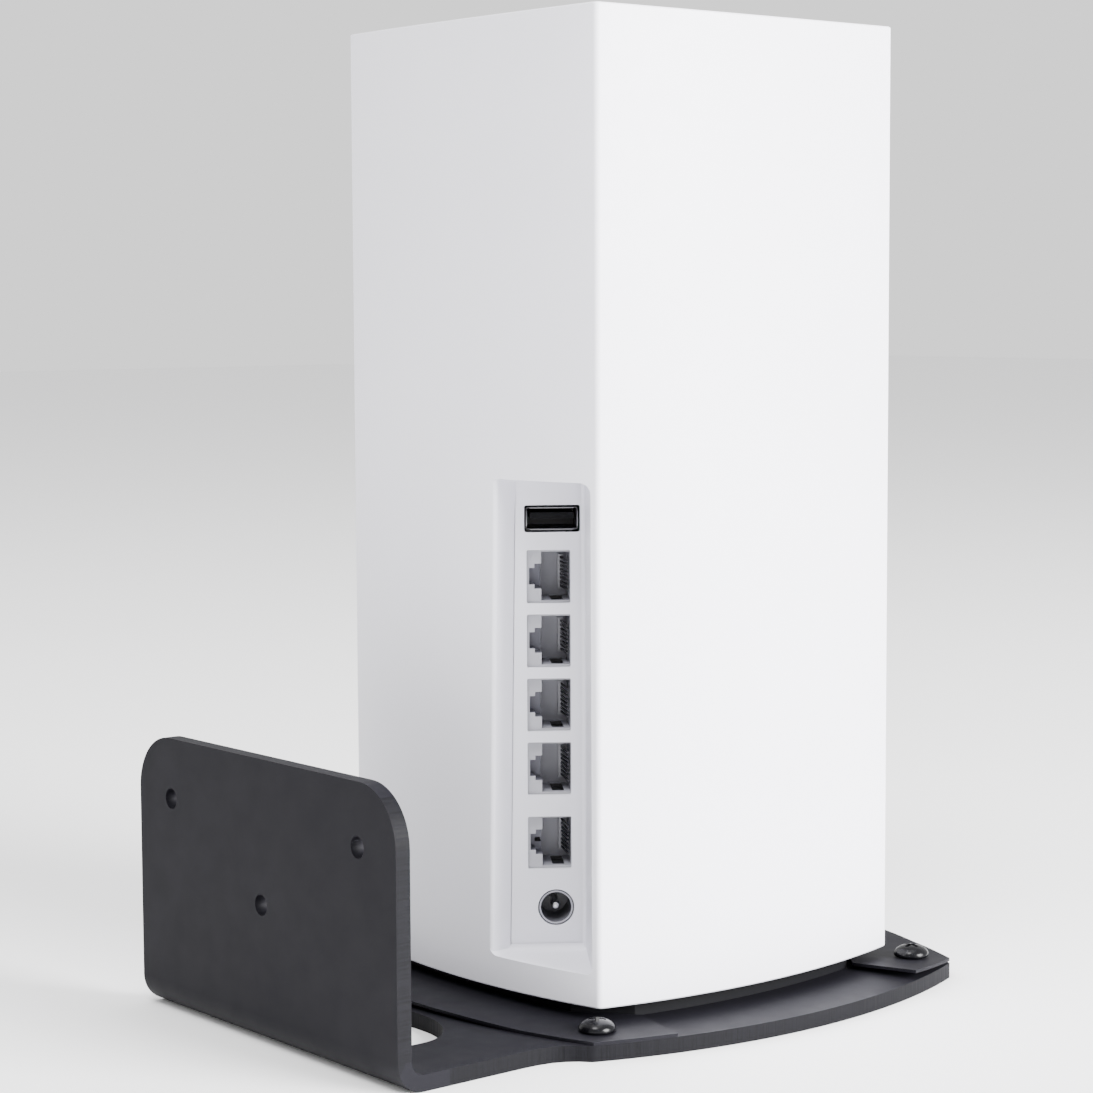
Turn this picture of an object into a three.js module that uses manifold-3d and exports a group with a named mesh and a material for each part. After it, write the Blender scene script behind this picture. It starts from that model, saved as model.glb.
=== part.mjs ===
// Mesh wifi node standing on its wall bracket. Millimetres, +Z up, wall side +Y.
// The tower is modelled about its own axis, with z = 0 at the lower edge of the shell.
import * as THREE from 'three';
import * as BufferGeometryUtils from 'three/addons/utils/BufferGeometryUtils.js';
import Module from 'manifold-3d';

const wasm = await Module();
wasm.setup();

// ---- Driving dimensions -------------------------------------------------
const TOWER_CORNER = 50.2;        // half the width between the tower's corners
const FACE_BULGE = 6.95;          // how far each face bows out
const TOWER_HEIGHT = 242.2;
const TOP_DISH = 0.00054;         // curvature of the dished top, 1/mm
const SHELL_WALL = 2.8;
const CORNER_ROUND = 1;
const FACE_STEPS = 20;

const PLATE = 4;                  // bracket plate thickness
const SHELF_MID = 74.6;           // middle of a shelf edge
const SHELF_EDGE_RADIUS = 162.6;
const SHELF_CORNER = 62.8;
const NECK_HALF = 55.45;
const WALL_FACE_Y = 114.8;        // outer face of the wall plate
const WALL_PLATE_TOP = 70.8;
const WALL_PLATE_ROUND = 14.2;
const BEND_OUTER = 7.6;
const WALL_HOLES = [[-40.5, 55.4], [40.5, 55.4], [0, 35]];
const WALL_HOLE_RADIUS = 2.6;
const SHELL_LIFT = 8.3;           // shell edge above the underside of the shelf
const ORIGIN_Y = -20.1;           // tower axis in the part's frame

const STRIP = 0.8;                // retainer sheet thickness
const STRIP_END = 41.6;
const SCREW_OFFSET = 55;

const PLINTH_INSET = 4.9;
const PLINTH_BOTTOM = -4.25;
const PLINTH_CHAMFER = 85.5;      // |x| + |y| on the cut corners
const SHELF_TOP = PLATE - SHELL_LIFT;

const RECESS_LOW = 8.1;
const RECESS_HIGH = 128.2;
const RECESS_WALL = 1.6;
const RECESS_RIGHT = [-48.2, 50.7];
const PORT_ORIGIN = [-15.74, 49.86];
const PORT_ANGLE = THREE.MathUtils.degToRad(-125.7);
const FLOOR_WIDTH = 18.9;
const FLOOR_END = 17.9;           // where the panel meets the rounded right wall
const PANEL = 1.2;
const SEAM = 0.3;

const JACK_X = 9.75;
const JACK_HALF_WIDTH = 5.5;
const JACK_HALF_HEIGHT = 6.7;
const LAN_JACKS = 4;
const LAN_TOP = 103.2;
const LAN_PITCH = 16.2;
const WAN_Z = 35.7;
const USB = { x: 10.7, z: 117.75, halfWidth: 7, halfHeight: 3.4 };
const POWER = { x: 11.3, z: 19.1, radius: 4.6 };
const CONTACTS = 8;
const CONTACT_PITCH = 1.02;

const BOARD_X = 17.8;             // main board, in the port frame
const WPS = { x: -15, y: 6, radius: 4 };
const RESET = { x: -15, y: -12, radius: 1.7 };
const SWITCH = { x: 11, y: 0, halfWidth: 6.5, halfLength: 9.5 };
const ROCKER_TILT = THREE.MathUtils.degToRad(9);

// ---- Materials ----------------------------------------------------------
const finish = (color, roughness, metalness = 0) =>
  new THREE.MeshStandardMaterial({ color, roughness, metalness });

const white = finish(0xf1f1f4, 0.5);
const portWhite = finish(0xe4e3e8, 0.45);
const charcoal = finish(0x3b3a3e, 0.55, 0.2);
const blackScrew = finish(0x121214, 0.25, 0.7);
const blackPlastic = finish(0x1c1c1f, 0.6);
const rubber = finish(0x18181a, 0.9);
const jackGrey = finish(0xb9b8bc, 0.5);
const steel = finish(0xb8b8bc, 0.3, 1);
const gold = finish(0xc9a24a, 0.3, 1);
const boardGreen = finish(0x1d4a38, 0.5);
const aluminium = finish(0xa9adb2, 0.35, 0.9);
const lensWhite = finish(0xf8f8fb, 0.2);

// ---- Solids -------------------------------------------------------------
function toManifold(geometry) {
  const bare = geometry.clone();
  bare.deleteAttribute('normal');
  bare.deleteAttribute('uv');
  const merged = BufferGeometryUtils.mergeVertices(bare, 1e-4);
  return new wasm.Manifold(new wasm.Mesh({
    numProp: 3,
    vertProperties: new Float32Array(merged.attributes.position.array),
    triVerts: new Uint32Array(merged.index.array),
  }));
}

function toGeometry(manifold) {
  const mesh = manifold.getMesh();
  const geometry = new THREE.BufferGeometry();
  geometry.setAttribute('position', new THREE.BufferAttribute(mesh.vertProperties, 3));
  geometry.setIndex(new THREE.BufferAttribute(mesh.triVerts, 1));
  geometry.computeVertexNormals();
  return geometry;
}

const asSolid = (item) => (item.isBufferGeometry ? toManifold(item) : item);

function join(...items) {
  return items.map(asSolid).reduce((whole, item) => whole.add(item));
}

function cut(body, ...tools) {
  return tools.map(asSolid).reduce((rest, tool) => rest.subtract(tool), asSolid(body));
}

function common(first, second) {
  return asSolid(first).intersect(asSolid(second));
}

function box(x0, x1, y0, y1, z0, z1) {
  const geometry = new THREE.BoxGeometry(x1 - x0, y1 - y0, z1 - z0);
  return geometry.translate((x0 + x1) / 2, (y0 + y1) / 2, (z0 + z1) / 2);
}

function post(radius, x, y, z0, z1, sides = 16, topRadius = radius) {
  const geometry = new THREE.CylinderGeometry(topRadius, radius, z1 - z0, sides);
  return geometry.rotateX(Math.PI / 2).translate(x, y, (z0 + z1) / 2);
}

// A round bar along Y.
function bar(radius, x, z, y0, y1, sides = 16) {
  const geometry = new THREE.CylinderGeometry(radius, radius, y1 - y0, sides);
  return geometry.translate(x, (y0 + y1) / 2, z);
}

function prism(points, z0, z1) {
  const shape = points instanceof THREE.Shape ? points
    : new THREE.Shape(points.map(([x, y]) => new THREE.Vector2(x, y)));
  const depth = z1 - z0;
  return new THREE.ExtrudeGeometry(shape, { depth, bevelEnabled: false, curveSegments: 6 })
    .translate(0, 0, z0);
}

// An outline in X and Z, pushed from y0 to y1.
function sidePrism(shape, y0, y1) {
  return prism(shape, -y1, -y0).rotateX(Math.PI / 2);
}

function turned(profile, sides) {
  const points = profile.map(([radius, z]) => new THREE.Vector2(radius, z));
  return new THREE.LatheGeometry(points, sides).rotateX(Math.PI / 2);
}

function signedVolume(positions, triangles) {
  const corner = (i) => new THREE.Vector3(...positions[i]);
  return triangles.reduce((sum, [a, b, c]) => sum + corner(a).dot(corner(b).cross(corner(c))) / 6, 0);
}

// Skins a list of rings with equal counts. A capped list is closed by a fan at each end,
// and a looped list joins its last ring to its first.
function skin(rings, looped = false) {
  const count = rings[0].length;
  const positions = rings.flat();
  const triangles = [];
  const bands = looped ? rings.length : rings.length - 1;
  for (let band = 0; band < bands; band += 1) {
    const low = band * count;
    const high = ((band + 1) % rings.length) * count;
    for (let i = 0; i < count; i += 1) {
      const next = (i + 1) % count;
      triangles.push([low + i, low + next, high + next], [low + i, high + next, high + i]);
    }
  }
  if (!looped) {
    for (const [ring, flip] of [[0, true], [rings.length - 1, false]]) {
      const base = ring * count;
      const centre = positions.length;
      const sum = rings[ring].reduce((all, p) => all.map((v, k) => v + p[k]), [0, 0, 0]);
      positions.push(sum.map((v) => v / count));
      for (let i = 0; i < count; i += 1) {
        const next = (i + 1) % count;
        triangles.push(flip ? [base + next, base + i, centre] : [base + i, base + next, centre]);
      }
    }
  }
  const outward = signedVolume(positions, triangles) > 0;
  const index = triangles.flatMap(([a, b, c]) => (outward ? [a, b, c] : [a, c, b]));
  const geometry = new THREE.BufferGeometry();
  geometry.setAttribute('position', new THREE.Float32BufferAttribute(positions.flat(), 3));
  geometry.setIndex(index);
  return geometry;
}

function roundedRect(x0, x1, y0, y1, radii) {
  const [a, b, c, d] = Array.isArray(radii) ? radii : [radii, radii, radii, radii];
  const shape = new THREE.Shape();
  shape.moveTo(x0 + a, y0);
  shape.lineTo(x1 - b, y0);
  shape.absarc(x1 - b, y0 + b, b, -Math.PI / 2, 0);
  shape.lineTo(x1, y1 - c);
  shape.absarc(x1 - c, y1 - c, c, 0, Math.PI / 2);
  shape.lineTo(x0 + d, y1);
  shape.absarc(x0 + d, y1 - d, d, Math.PI / 2, Math.PI);
  shape.lineTo(x0, y0 + a);
  shape.absarc(x0 + a, y0 + a, a, Math.PI, 1.5 * Math.PI);
  return shape;
}

// ---- Outlines -----------------------------------------------------------
const FACE_RADIUS = (TOWER_CORNER ** 2 + FACE_BULGE ** 2) / (2 * FACE_BULGE);
const FACE_CENTRE = TOWER_CORNER + FACE_BULGE - FACE_RADIUS;

function faceOffset(along, inset = 0) {
  return FACE_CENTRE + Math.sqrt((FACE_RADIUS - inset) ** 2 - along ** 2);
}

function cornerAt(inset) {
  const radius = FACE_RADIUS - inset;
  return (FACE_CENTRE + Math.sqrt(2 * radius ** 2 - FACE_CENTRE ** 2)) / 2;
}

// The tower's plan outline, drawn inwards by inset, counter-clockwise.
function towerOutline(inset, round = CORNER_ROUND, steps = FACE_STEPS) {
  const corner = cornerAt(inset);
  const end = corner - round;
  const points = [];
  for (let side = 0; side < 4; side += 1) {
    const turn = (side * Math.PI) / 2;
    const place = (along, out) => points.push([
      Math.cos(turn) * out - Math.sin(turn) * along,
      Math.sin(turn) * out + Math.cos(turn) * along,
    ]);
    for (let i = 0; i <= steps; i += 1) {
      const along = -end + (2 * end * i) / steps;
      place(along, faceOffset(along, inset));
    }
    const edge = faceOffset(end, inset);
    for (const t of [0.25, 0.5, 0.75]) {
      const keep = (1 - t) ** 2;
      const pull = 2 * t * (1 - t);
      place(keep * end + pull * corner + t * t * edge, keep * edge + pull * corner + t * t * end);
    }
  }
  return points;
}

function dishedTop(x, y) {
  return TOWER_HEIGHT - TOP_DISH * (2 * TOWER_CORNER ** 2 - x * x - y * y);
}

const atHeight = (outline, height) => outline.map(([x, y]) =>
  [x, y, typeof height === 'function' ? height(x, y) : height]);

const scaled = (outline, factor) => outline.map(([x, y]) => [x * factor, y * factor]);

function octagon(half, chamfer) {
  const end = chamfer - half;
  return [[half, -end], [half, end], [end, half], [-end, half],
    [-half, end], [-half, -end], [-end, -half], [end, -half]];
}

const bowedSolid = (inset, z0, z1) => prism(towerOutline(inset, CORNER_ROUND, 8), z0, z1);

// The bowed outline with its corners cut off.
function plinthSolid(inset, chamfer, z0, z1) {
  return common(bowedSolid(inset, z0, z1),
    prism(octagon(TOWER_CORNER + FACE_BULGE, chamfer), z0 - 1, z1 + 1));
}

// ---- Bracket ------------------------------------------------------------
function shelfEdge(along) {
  return SHELF_MID - SHELF_EDGE_RADIUS + Math.sqrt(SHELF_EDGE_RADIUS ** 2 - along ** 2);
}

function shelfArc(from, to, steps, place) {
  return Array.from({ length: steps + 1 }, (_, i) => {
    const along = from + ((to - from) * i) / steps;
    return place(along, shelfEdge(along));
  });
}

function shelfOutline() {
  const end = SHELF_CORNER - 1.2;
  const right = shelfArc(-end, end, 20, (t, out) => [out, t]);
  const front = shelfArc(-end, end, 20, (t, out) => [t, -out]);
  const left = right.map(([x, y]) => [-x, y]).reverse();
  const shoulder = [[62, 62.5], [59.6, 64.7], [57.7, 67.2], [56.4, 70.3], [55.7, 74], [NECK_HALF, 78]];
  const neck = [[NECK_HALF, 100], [-NECK_HALF, 100]];
  const otherShoulder = shoulder.map(([x, y]) => [-x, y]).reverse();
  const corner = SHELF_CORNER - 0.6;
  return [...front, [corner, -corner], ...right, ...shoulder, ...neck, ...otherShoulder, ...left,
    [-corner, -corner]];
}

function angleProfile() {
  const inner = BEND_OUTER - PLATE;
  const bendY = WALL_FACE_Y - BEND_OUTER;
  const shape = new THREE.Shape();
  shape.moveTo(90, 0);
  shape.lineTo(bendY, 0);
  shape.absarc(bendY, BEND_OUTER, BEND_OUTER, -Math.PI / 2, 0);
  shape.lineTo(WALL_FACE_Y, WALL_PLATE_TOP);
  shape.lineTo(WALL_FACE_Y - PLATE, WALL_PLATE_TOP);
  shape.lineTo(WALL_FACE_Y - PLATE, BEND_OUTER);
  shape.absarc(bendY, BEND_OUTER, inner, 0, -Math.PI / 2, true);
  shape.lineTo(90, PLATE);
  return shape;
}

function cableCutout() {
  const shape = new THREE.Shape();
  const [half, low, high, round] = [33.8, 76.6, 104.5, 9];
  const [wide, deep] = [20, 15];
  shape.moveTo(-half + wide, low);
  shape.lineTo(half - wide, low);
  shape.absellipse(half - wide, low + deep, wide, deep, -Math.PI / 2, 0);
  shape.lineTo(half, high - round);
  shape.absarc(half - round, high - round, round, 0, Math.PI / 2);
  shape.lineTo(-half + round, high);
  shape.absarc(-half + round, high - round, round, Math.PI / 2, Math.PI);
  shape.lineTo(-half, low + deep);
  shape.absellipse(-half + wide, low + deep, wide, deep, Math.PI, 1.5 * Math.PI);
  return prism(shape, -1, PLATE + 1);
}

function eachCorner(distance) {
  return [[-distance, distance], [distance, distance], [-distance, -distance], [distance, -distance]];
}

function makeBracket() {
  const strip = prism(angleProfile(), -NECK_HALF, NECK_HALF)
    .rotateX(Math.PI / 2).rotateZ(Math.PI / 2);
  const front = roundedRect(-NECK_HALF, NECK_HALF, -20, WALL_PLATE_TOP,
    [1, 1, WALL_PLATE_ROUND, WALL_PLATE_ROUND]);
  const angle = common(strip, sidePrism(front, 80, 130));
  const wallHoles = WALL_HOLES.map(([x, z]) => bar(WALL_HOLE_RADIUS, x, z, 105, 120, 20));
  const screwHoles = eachCorner(SCREW_OFFSET).map(([x, y]) => post(2.2, x, y, -1, PLATE + 1, 12));
  const access = prism(roundedRect(-32, 32, -32, 32, 14), -1, PLATE + 1);
  return cut(join(prism(shelfOutline(), 0, PLATE), angle),
    cableCutout(), access, ...screwHoles, ...wallHoles);
}

const STATIONS = 19;
const TAB_ROOT = [50.6, 37.2];    // inner corner of a retainer's tab
const BOW_HALF = 43;
const BOW = 0.9;

// Half a retainer, as pairs of outer and inner plan points from its tab to its middle.
function retainerStations() {
  const end = SHELF_CORNER - 2.2;
  const corner = SHELF_CORNER - 0.6;
  const outer = [...shelfArc(STRIP_END, end, 5, (t, out) => [out, t]), [corner, corner],
    ...shelfArc(end, 0, STATIONS - 8, (t, out) => [t, out])];
  const faceEnd = TAB_ROOT[1];
  const root = [faceEnd, faceOffset(faceEnd, PLINTH_INSET - 0.5)];
  const chamferSteps = 8;
  return outer.map((point, i) => {
    const part = i / chamferSteps;
    if (part <= 1) return [point, [0, 1].map((k) => TAB_ROOT[k] + part * (root[k] - TAB_ROOT[k]))];
    const along = faceEnd * (1 - (i - chamferSteps) / (STATIONS - 1 - chamferSteps));
    return [point, [along, faceOffset(along, PLINTH_INSET - 0.5)]];
  });
}

// A thin sheet that lifts by lift(x, y) off the shelf between its screws.
function makeRetainer(facing, lift) {
  const half = retainerStations();
  const other = half.slice(0, -1).map((pair) => pair.map(([x, y]) => [-x, y])).reverse();
  const base = PLATE + 0.03;
  const rings = [...half, ...other].map(([outer, inner]) => {
    const low = [outer, inner].map(([x, y]) => [x, y, base + lift(x, y)]);
    const high = low.map(([x, y, z]) => [x, y, z + STRIP]);
    return [low[0], low[1], high[1], high[0]];
  });
  const sheet = skin(rings);
  if (facing < 0) sheet.rotateZ(Math.PI);
  const holes = eachCorner(SCREW_OFFSET).map(([x, y]) => post(2.3, x, y, PLATE - 1, PLATE + 6, 12));
  return cut(sheet, ...holes);
}

const middleBow = (x) => BOW * Math.max(0, 1 - (x / BOW_HALF) ** 2);

// The front sheet springs up at one tab.
function frontLift(x, y) {
  if (x < 0) return middleBow(x);
  const tabPull = Math.min(1, Math.max(0, (SCREW_OFFSET + 8 - y) / 22));
  const spread = Math.min(1, x / BOW_HALF);
  return middleBow(x) + 0.5 * spread + 0.9 * tabPull * Math.max(0, (x - 38) / 20);
}

const SCREW_SEAT = { flat: PLATE + STRIP + 0.22, raised: PLATE + STRIP + 1.1 };

function plainScrew(headRadius, headHeight, shaftRadius, shaftLength) {
  return turned([[0, -shaftLength], [shaftRadius, -shaftLength], [shaftRadius, 0], [headRadius, 0],
    [headRadius, headHeight * 0.6], [headRadius * 0.7, headHeight], [0, headHeight]], 10);
}

function crossScrew(headRadius, headHeight, shaftRadius, shaftLength) {
  const dome = [1, 0.95, 0.78, 0.46].map((part, i) =>
    [headRadius * part, headHeight * (0.3 + (0.7 * i) / 3.4)]);
  const body = turned([[0, -shaftLength], [shaftRadius, -shaftLength], [shaftRadius, 0],
    [headRadius, 0], ...dome, [0, headHeight]], 14);
  const slot = headRadius * 0.52;
  const wing = headRadius * 0.12;
  return cut(body, box(-slot, slot, -wing, wing, headHeight * 0.45, headHeight * 2),
    box(-wing, wing, -slot, slot, headHeight * 0.45, headHeight * 2));
}

// ---- Shell and its port recess -------------------------------------------
const ALONG = [Math.cos(PORT_ANGLE), Math.sin(PORT_ANGLE)];
const INWARD = [-Math.sin(PORT_ANGLE), Math.cos(PORT_ANGLE)];

// A plan point from its place along the port floor and its depth behind it.
function portPoint(along, depth) {
  return [0, 1].map((k) => PORT_ORIGIN[k] + along * ALONG[k] + depth * INWARD[k]);
}

// The left wall of the recess leans, so its plan changes with height.
function recessLeft(z) {
  const part = (z - RECESS_LOW) / (RECESS_HIGH - RECESS_LOW);
  return { lip: -15.85 - 2.35 * part, floor: -0.4 + 1.8 * part };
}

function recessPlan(z, wall) {
  const { lip, floor } = recessLeft(z);
  const outside = wall ? [[lip + wall, 62], [lip + wall, 54.2]]
    : [[lip + 1.2, 62], [lip + 1.2, 56.5], [lip + 0.6, 56.3], [lip + 0.15, 55.8], [lip, 55.2]];
  const back = wall ? [portPoint(floor - wall, -SEAM), portPoint(FLOOR_WIDTH + wall, -SEAM)]
    : [portPoint(floor, -SEAM), portPoint(floor, 3), portPoint(FLOOR_END, 3), portPoint(FLOOR_END, -SEAM),
      portPoint(18.5, -0.6), portPoint(FLOOR_WIDTH, -1.5)];
  const right = [RECESS_RIGHT[0] - wall * 0.6, RECESS_RIGHT[1] - wall * 0.8];
  return [...outside, ...back, right, [right[0], 62]];
}

// The recess as seen from the wall side: a rounded outline whose left edge leans.
function recessFront(wall) {
  const [low, high] = [RECESS_LOW - wall, RECESS_HIGH + wall];
  const round = [1.8, 2.2, 2, 3].map((radius) => radius + wall);
  const left = recessLeft(RECESS_LOW).lip + 1.25 + wall;
  const outline = roundedRect(RECESS_RIGHT[0] - wall, left, low, high, round).getPoints(6);
  return outline.map(({ x, y }) =>
    [x < left - 10 ? x : x + recessLeft(y).lip - recessLeft(RECESS_LOW).lip, y]);
}

function recessVolume(wall) {
  const [low, high] = [RECESS_LOW - wall, RECESS_HIGH + wall];
  const plan = skin([atHeight(recessPlan(low, wall), low), atHeight(recessPlan(high, wall), high)]);
  return common(plan, sidePrism(recessFront(wall), 20, 70));
}

function makeShell() {
  const outer = towerOutline(0);
  const inner = towerOutline(SHELL_WALL);
  const tube = skin([atHeight(outer, 0), atHeight(outer, dishedTop), atHeight(inner, dishedTop),
    atHeight(inner, 0)], true);
  const middle = prism(towerOutline(SHELL_WALL / 2), 0, TOWER_HEIGHT);
  const pocket = common(recessVolume(RECESS_WALL), middle);
  return cut(join(tube, pocket), recessVolume(0));
}

const COVER_DROP = 0.8;
const COVER_THICK = 2.2;
const LIGHT = { x: 0, y: -44, radius: 3 };

function makeTopCover() {
  const outline = towerOutline(SHELL_WALL + 0.3, CORNER_ROUND, 6);
  const rings = [0.5, 1].map((factor) => scaled(outline, factor));
  const surface = (drop) => (x, y) => dishedTop(x, y) - drop;
  const below = rings.map((ring) => atHeight(ring, surface(COVER_DROP + COVER_THICK)));
  const above = rings.map((ring) => atHeight(ring, surface(COVER_DROP))).reverse();
  const slots = [];
  for (let row = -3; row <= 3; row += 1) {
    for (const side of [-1, 1]) {
      slots.push(box(side * 21 - 15, side * 21 + 15, row * 8 - 1.3, row * 8 + 1.3, 230, 245));
    }
  }
  return cut(skin([...below, ...above]), ...slots,
    post(LIGHT.radius + 0.3, LIGHT.x, LIGHT.y, 230, 245));
}

// ---- Ports, drawn in the port frame: x along the floor, y into the tower ---
const LAN_Z = Array.from({ length: LAN_JACKS }, (_, i) => LAN_TOP - i * LAN_PITCH);
const JACK_FRONT = PANEL + 0.2;
const JACK_DEPTH = 13;

function makePanel() {
  const plate = box(-2.6, FLOOR_WIDTH + 1.2, 0, PANEL, RECESS_LOW - 1.2, RECESS_HIGH + 1.2);
  const windows = [...LAN_Z, WAN_Z].map((z) => box(JACK_X - JACK_HALF_WIDTH, JACK_X + JACK_HALF_WIDTH,
    -1, 2, z - JACK_HALF_HEIGHT, z + JACK_HALF_HEIGHT));
  const slot = box(USB.x - USB.halfWidth, USB.x + USB.halfWidth, -1, 2,
    USB.z - USB.halfHeight, USB.z + USB.halfHeight);
  return cut(plate, ...windows, slot, bar(POWER.radius, POWER.x, POWER.z, -1, 2, 28));
}

function makeJack(hasPlugSlot) {
  const front = JACK_FRONT;
  const body = box(-6.3, 6.9, front, front + 15.5, -7.6, 7.6);
  const cavity = box(-1.75, 5.45, front - 1, front + JACK_DEPTH, -6.15, 6.15);
  const keyway = box(-3.45, -1.7, front - 1, front + 6, -3.13, 3.13);
  const latch = box(-4.8, -3.4, front - 1, front + 6, -2.07, 2.07);
  const notch = box(0.3, 3.5, front + 2, front + 12, -6.95, -6.1);
  const cuts = [cavity, keyway, latch, notch];
  if (hasPlugSlot) cuts.push(box(-3.4, -1.7, front + 5, front + 10, -1.1, 0.1));
  return cut(body, ...cuts);
}

function makeContacts() {
  const [near, far] = [{ x: 4.95, y: 3.2 }, { x: 3.75, y: 13.3 }];
  const length = Math.hypot(far.x - near.x, far.y - near.y);
  const lean = Math.atan2(near.x - far.x, far.y - near.y);
  const wires = Array.from({ length: CONTACTS }, (_, i) => {
    const z = (i - (CONTACTS - 1) / 2) * CONTACT_PITCH;
    return box(-0.17, 0.17, -length / 2, length / 2, -0.24, 0.24)
      .rotateZ(lean).translate((near.x + far.x) / 2, (near.y + far.y) / 2, z);
  });
  return join(box(3.1, 4.5, 12.6, 13.9, -4.4, 4.4), ...wires);
}

function makeUsbShell() {
  const [w, h] = [6.55, 2.85];
  return cut(box(-w, w, 0.5, 15, -h, h), box(-w + 0.3, w - 0.3, -1, 14.2, -h + 0.3, h - 0.3));
}

function makePowerJack() {
  const body = box(-5.4, 5.4, JACK_FRONT, 15.5, -5.6, 6.2);
  const collar = bar(4.3, 0, 0, 0.15, JACK_FRONT + 1, 28);
  return cut(join(body, collar), bar(3.85, 0, 0, -1, 12.5, 28));
}

// ---- Foot, switches and inner parts ----------------------------------------
const FLOOR_TOP = -1.75;

function makePlinth() {
  const skirt = plinthSolid(PLINTH_INSET, PLINTH_CHAMFER, PLINTH_BOTTOM, 3.8);
  const ledge = bowedSolid(SHELL_WALL + 0.4, 0.4, 2.2);
  const hollow = plinthSolid(PLINTH_INSET + 2.3, PLINTH_CHAMFER - 2.6, FLOOR_TOP, 6);
  const tongues = [1, -1].map((side) => box(-25, 25, Math.min(side * 45, side * 56.5),
    Math.max(side * 45, side * 56.5), PLINTH_BOTTOM, PLINTH_BOTTOM + 0.4));
  const tray = cut(join(cut(join(skirt, ledge), hollow), ...tongues),
    ...eachCorner(38).map(([x, y]) => post(4.8, x, y, PLINTH_BOTTOM - 1, PLINTH_BOTTOM + 1.3, 12)));
  const vents = [];
  for (const side of [-1, 1]) {
    for (const row of [-3, -2, -1, 1, 2, 3]) {
      vents.push(box(row * 6 - 1.2, row * 6 + 1.2, side * 24 - 4, side * 24 + 4, -6, 0));
    }
  }
  const screwHoles = BASE_SCREWS.flatMap(([x, y]) => [post(1.8, x, y, -6, 0, 12),
    post(3.3, x, y, -6, PLINTH_BOTTOM + 1.4, 10)]);
  return cut(tray, ...vents, ...screwHoles,
    post(WPS.radius + 0.35, WPS.x, WPS.y, -6, 0, 20),
    post(RESET.radius + 0.35, RESET.x, RESET.y, -6, 0),
    box(SWITCH.x - SWITCH.halfWidth - 0.25, SWITCH.x + SWITCH.halfWidth + 0.25,
      -SWITCH.halfLength - 0.25, SWITCH.halfLength + 0.25, -6, 0));
}

const BASE_SCREWS = [[27, 0], [-27, 0], [0, 29], [0, -29]];
const FRAME_LOW = 4.4;
const FRAME_TOP = 228;
const FRAME_POSTS = [[41, 41], [41, -41], [-41, -41], [-48, 18]];

function makeFrame() {
  const lower = cut(bowedSolid(4, FRAME_LOW, FRAME_LOW + 2),
    prism(roundedRect(-22, 22, -22, 22, 4), 0, 10),
    ...BASE_SCREWS.map(([x, y]) => post(1.75, x, y, 0, 10, 12)));
  const upper = cut(bowedSolid(4, FRAME_TOP - 2, FRAME_TOP),
    prism(roundedRect(-34, 34, -34, 34, 8), FRAME_TOP - 5, FRAME_TOP + 5));
  const posts = FRAME_POSTS.map(([x, y]) =>
    box(x - 2.5, x + 2.5, y - 2.5, y + 2.5, FRAME_LOW + 0.5, FRAME_TOP - 0.5));
  const holes = FRAME_POSTS.map(([x, y]) => post(1.4, x, y, FRAME_TOP - 9, FRAME_TOP + 2, 10));
  return cut(join(lower, upper, ...posts), ...holes);
}

function makeHeatsink(base, tip, y0, y1, z0, z1, fins) {
  const thick = Math.sign(tip - base) * 2;
  const plate = box(Math.min(base, base + thick), Math.max(base, base + thick), y0, y1, z0, z1);
  const blades = Array.from({ length: fins }, (_, i) => {
    const y = y0 + ((y1 - y0 - 1.6) * i) / (fins - 1);
    return box(Math.min(base + thick / 2, tip), Math.max(base + thick / 2, tip), y, y + 1.6, z0, z1);
  });
  return join(plate, ...blades);
}

function makeButton({ radius }, face, flange, stem, top) {
  return join(post(radius, 0, 0, face, FLOOR_TOP + 0.6, 20),
    post(flange, 0, 0, FLOOR_TOP + 0.3, FLOOR_TOP + 1.1, 20),
    post(stem, 0, 0, FLOOR_TOP + 1, top, 12));
}

function makeTactSwitch() {
  return join(box(-3, 3, -3, 3, 3.9, 4.8), post(1.6, 0, 0, 3.35, 4.2, 12));
}

function makeSwitchHousing() {
  const { halfWidth: w, halfLength: l } = SWITCH;
  const can = join(box(-w, w, -l, l, -4.9, 2.6), box(-w - 1, w + 1, -l - 1, l + 1, -5.2, -4.4));
  return cut(can, box(-w + 1.4, w - 1.4, -l + 1.4, l - 1.4, -8, 1.6));
}

const ROCKER_PIVOT = -2.2;

function makeRocker() {
  const side = [[-6.9, -3.4], [0, -2.3], [6.9, -3.4], [6.4, -0.4], [2.5, 1.2], [-2.5, 1.2], [-6.4, -0.4]];
  const half = SWITCH.halfWidth - 1.7;
  return prism(side, -half, half).rotateX(Math.PI / 2).rotateZ(Math.PI / 2).rotateX(-ROCKER_TILT);
}

// ---- Assembly -----------------------------------------------------------
const assembly = new THREE.Group();
const bracketGroup = new THREE.Group();
const towerGroup = new THREE.Group();
const portGroup = new THREE.Group();
bracketGroup.position.set(0, ORIGIN_Y, 0);
towerGroup.position.set(0, ORIGIN_Y, SHELL_LIFT);
portGroup.position.set(...PORT_ORIGIN, 0);
portGroup.rotation.z = PORT_ANGLE;
towerGroup.add(portGroup);
assembly.add(bracketGroup, towerGroup);

function add(group, name, item, material, x = 0, y = 0, z = 0) {
  const mesh = new THREE.Mesh(item.isBufferGeometry ? item : toGeometry(item), material);
  mesh.name = name;
  mesh.position.set(x, y, z);
  group.add(mesh);
}

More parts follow.
